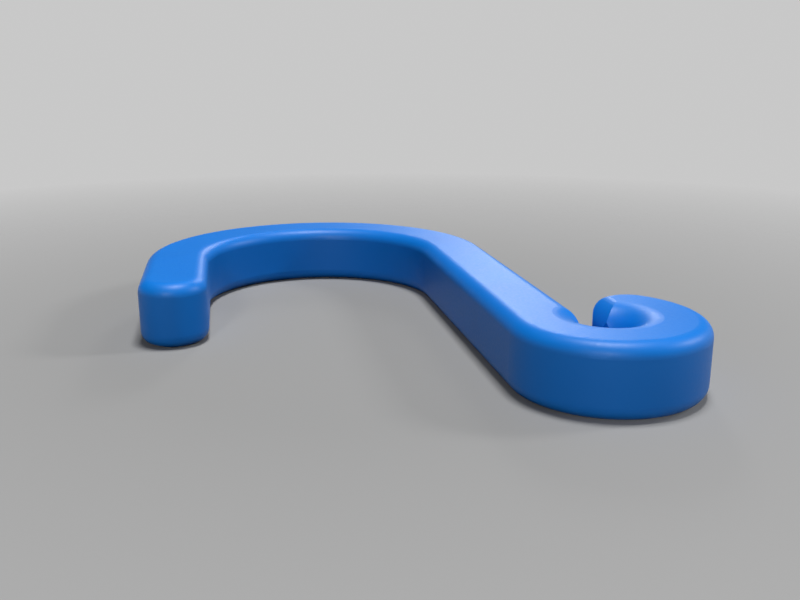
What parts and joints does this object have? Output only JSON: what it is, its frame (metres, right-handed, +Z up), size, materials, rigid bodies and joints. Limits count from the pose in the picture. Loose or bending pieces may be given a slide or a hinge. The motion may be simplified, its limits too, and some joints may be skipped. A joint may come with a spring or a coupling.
{
  "type": "multipurpose hook",
  "caption": "Flat plastic hook: a straight shank with a wide open hook bend at one end and a tight, nearly closed eye with a flared throat at the other, for hanging things or holding a cord.",
  "frame": {"origin": "under the middle of the hook's outer box, on the flat face it lies on", "axes": "+X along the straight shank from the wide hook to the eye, +Y across it towards the eye's side, +Z up through the thickness"},
  "size_m": [0.0894, 0.0736, 0.0098],
  "materials": {
    "hook_plastic": "satin"
  },
  "bodies": {
    "root": {"hook": "hook_plastic"}
  },
  "joints": []
}
